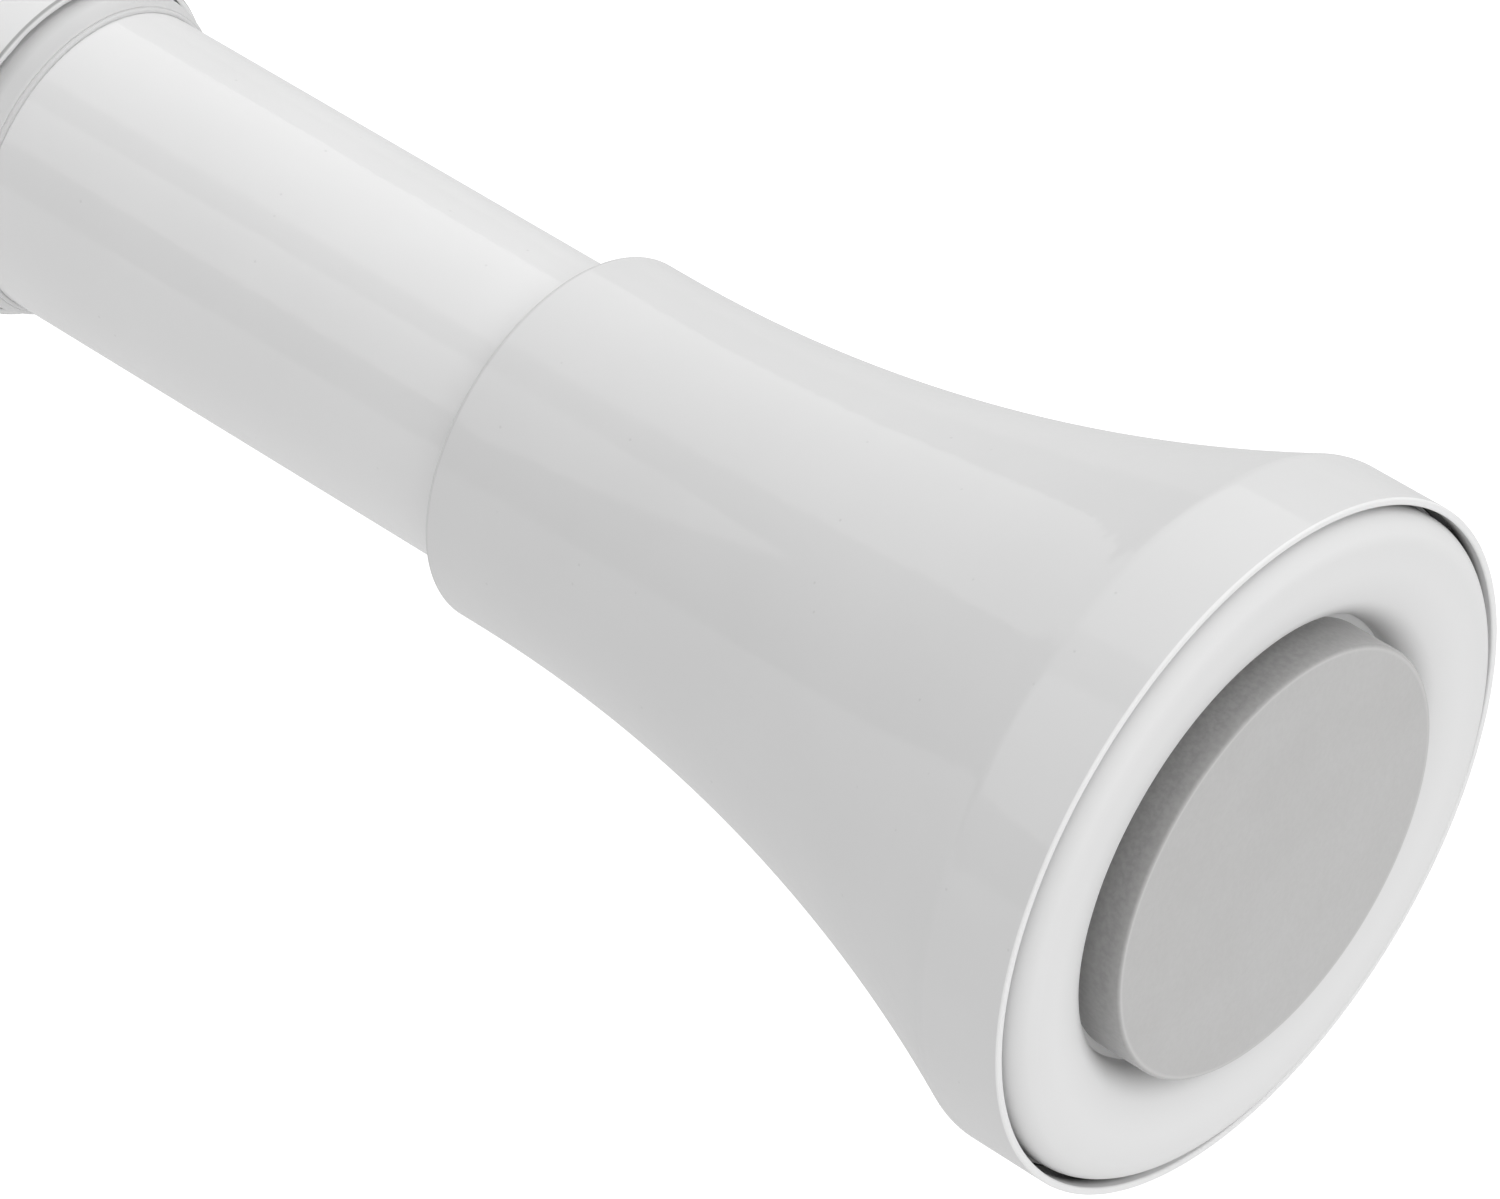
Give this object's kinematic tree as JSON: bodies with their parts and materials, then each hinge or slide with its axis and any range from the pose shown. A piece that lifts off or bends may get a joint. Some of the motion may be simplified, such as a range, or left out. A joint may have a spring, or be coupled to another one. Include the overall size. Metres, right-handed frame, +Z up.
{
  "type": "spring tension rod",
  "caption": "Telescoping steel curtain rod with trumpet ends and rubber wall pads, set by an inner twist lock and held between two walls by an inner spring.",
  "frame": {"origin": "centre of the outer tube end's wall pad, on its face", "axes": "+X along the rod towards the inner tube's end, +Z up when the rod hangs level between two walls"},
  "size_m": [0.6528, 0.0486, 0.0486],
  "materials": {
    "white_coat": "smooth satin white powder coat",
    "collar_plastic": "milky moulded plastic",
    "foot_plastic": "satin moulded plastic",
    "grey_rubber": "matte moulded rubber",
    "inner_plastic": "natural moulded plastic",
    "lock_plastic": "matte black moulded plastic",
    "ring_plastic": "matte moulded plastic",
    "zinc_steel": "bright zinc plate",
    "spring_steel": "oiled spring steel"
  },
  "bodies": {
    "outer": {"outer_tube": "white_coat", "mouth_collar": "collar_plastic", "outer_bell": "white_coat", "outer_foot": "foot_plastic", "outer_pad": "grey_rubber"},
    "ring": {"cam_ring": "ring_plastic"},
    "core": {"lock_core": "lock_plastic", "lock_washer": "zinc_steel", "lock_screw": "zinc_steel", "plunger_rod": "zinc_steel", "piston": "inner_plastic", "piston_clip": "spring_steel", "back_washer": "zinc_steel"},
    "inner": {"inner_tube": "white_coat", "inner_bell": "white_coat", "neck_bush": "inner_plastic", "inner_foot": "foot_plastic", "inner_pad": "grey_rubber", "guide_bush": "inner_plastic", "spring_stop": "inner_plastic", "front_washer": "zinc_steel", "main_spring": "spring_steel"}
  },
  "joints": [
    {"name": "length_slide", "type": "slide", "parent": "outer", "child": "ring", "axis": [1, 0, 0], "range_m": [-0.0225, 0.261]},
    {"name": "twist_lock", "type": "hinge", "parent": "ring", "child": "core", "pos_m": [0.19323, 0, 0], "axis": [1, 0, 0], "range_deg": [0, 36]},
    {"name": "spring_travel", "type": "slide", "parent": "core", "child": "inner", "axis": [-1, 0, 0], "range_m": [0, 0.02], "stiffness_N_per_m": 2490, "springref_m": -0.012, "deforming": ["main_spring"]}
  ]
}
